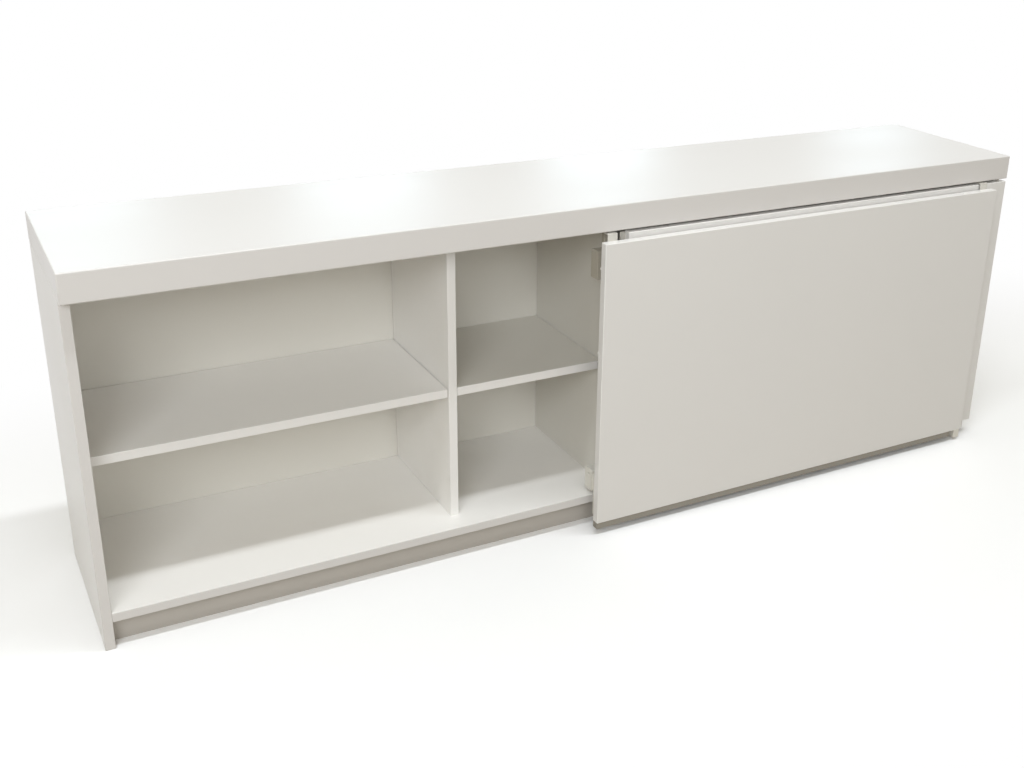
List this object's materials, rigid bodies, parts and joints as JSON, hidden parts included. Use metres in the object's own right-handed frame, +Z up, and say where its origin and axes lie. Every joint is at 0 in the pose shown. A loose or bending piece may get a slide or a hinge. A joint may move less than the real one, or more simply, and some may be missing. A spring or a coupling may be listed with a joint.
{
  "type": "office credenza",
  "caption": "Long low white office cabinet with a thick top slab, open shelved bays and sliding doors, with one door slid across in front of the other.",
  "frame": {"origin": "on the floor, under the middle of the object's box", "axes": "+X along the length to the right seen from the front, +Y to the back, +Z up"},
  "size_m": [2.1, 0.419, 0.72],
  "materials": {
    "white_laminate": "white melamine on particle board, satin",
    "plinth_laminate": "white melamine, satin",
    "track_aluminium": "drawn, anodised",
    "zinc_steel": "zinc plated",
    "white_plastic": "moulded, off-white",
    "grey_nylon": "moulded, dark grey",
    "black_rubber": "matt",
    "grey_profile": "extruded, grey",
    "white_rubber": "matt white"
  },
  "bodies": {
    "carcass": {"top_panel": "white_laminate", "bottom_panel": "white_laminate", "back_panel": "white_laminate", "plinth_board": "plinth_laminate", "left_end_panel": "white_laminate", "right_end_panel": "white_laminate", "left_divider": "white_laminate", "centre_divider": "white_laminate", "right_divider": "white_laminate", "hanging_track": "track_aluminium", "left_shelf": "white_laminate", "left_shelf_pin_left_front": "white_plastic", "left_shelf_pin_left_back": "white_plastic", "left_shelf_pin_right_front": "white_plastic", "left_shelf_pin_right_back": "white_plastic", "inner_left_shelf": "white_laminate", "inner_left_shelf_pin_left_front": "white_plastic", "inner_left_shelf_pin_left_back": "white_plastic", "inner_left_shelf_pin_right_front": "white_plastic", "inner_left_shelf_pin_right_back": "white_plastic", "inner_right_shelf": "white_laminate", "inner_right_shelf_pin_left_front": "white_plastic", "inner_right_shelf_pin_left_back": "white_plastic", "inner_right_shelf_pin_right_front": "white_plastic", "inner_right_shelf_pin_right_back": "white_plastic", "right_shelf": "white_laminate", "right_shelf_pin_left_front": "white_plastic", "right_shelf_pin_left_back": "white_plastic", "right_shelf_pin_right_front": "white_plastic", "right_shelf_pin_right_back": "white_plastic", "front_lane_left_stop": "black_rubber", "front_lane_right_stop": "black_rubber", "rear_lane_left_stop": "black_rubber", "rear_lane_right_stop": "black_rubber"},
    "left_door": {"left_door_panel": "white_laminate", "left_door_bottom_rail": "grey_profile", "left_door_foot": "white_plastic", "left_door_upper_buffer": "white_rubber", "left_door_lower_buffer": "white_rubber", "left_door_left_arm": "zinc_steel", "left_door_left_upper_block": "white_plastic", "left_door_left_trolley": "zinc_steel", "left_door_left_lower_arm": "zinc_steel", "left_door_left_lower_guide": "white_plastic", "left_door_right_arm": "zinc_steel", "left_door_right_upper_block": "white_plastic", "left_door_right_trolley": "zinc_steel", "left_door_right_lower_arm": "zinc_steel", "left_door_right_lower_guide": "white_plastic"},
    "right_door": {"right_door_panel": "white_laminate", "right_door_left_hanger": "zinc_steel", "right_door_left_trolley": "zinc_steel", "right_door_left_lower_guide": "white_plastic", "right_door_right_hanger": "zinc_steel", "right_door_right_trolley": "zinc_steel", "right_door_right_lower_guide": "white_plastic"},
    "left_door_left_wheels": {"left_door_left_wheels": "grey_nylon"},
    "left_door_right_wheels": {"left_door_right_wheels": "grey_nylon"},
    "right_door_left_wheels": {"right_door_left_wheels": "grey_nylon"},
    "right_door_right_wheels": {"right_door_right_wheels": "grey_nylon"}
  },
  "joints": [
    {"name": "left_door_slide", "type": "slide", "parent": "carcass", "child": "left_door", "axis": [1, 0, 0], "range_m": [-0.975, 0.044]},
    {"name": "right_door_slide", "type": "slide", "parent": "carcass", "child": "right_door", "axis": [1, 0, 0], "range_m": [-1.02, 0]},
    {"name": "left_door_left_wheels_roll", "type": "hinge", "parent": "left_door", "child": "left_door_left_wheels", "pos_m": [-0.04, -0.147, 0.6743], "axis": [0, 1, 0], "continuous": true},
    {"name": "left_door_right_wheels_roll", "type": "hinge", "parent": "left_door", "child": "left_door_right_wheels", "pos_m": [0.97, -0.147, 0.6743], "axis": [0, 1, 0], "continuous": true},
    {"name": "right_door_left_wheels_roll", "type": "hinge", "parent": "right_door", "child": "right_door_left_wheels", "pos_m": [0.005, -0.124, 0.6743], "axis": [0, 1, 0], "continuous": true},
    {"name": "right_door_right_wheels_roll", "type": "hinge", "parent": "right_door", "child": "right_door_right_wheels", "pos_m": [1.003, -0.124, 0.6743], "axis": [0, 1, 0], "continuous": true}
  ],
  "couplings": [
    {"joint": "left_door_left_wheels_roll", "follows": "left_door_slide", "rad_per_m": 166.67},
    {"joint": "left_door_right_wheels_roll", "follows": "left_door_slide", "rad_per_m": 166.67},
    {"joint": "right_door_left_wheels_roll", "follows": "right_door_slide", "rad_per_m": 166.67},
    {"joint": "right_door_right_wheels_roll", "follows": "right_door_slide", "rad_per_m": 166.67}
  ]
}
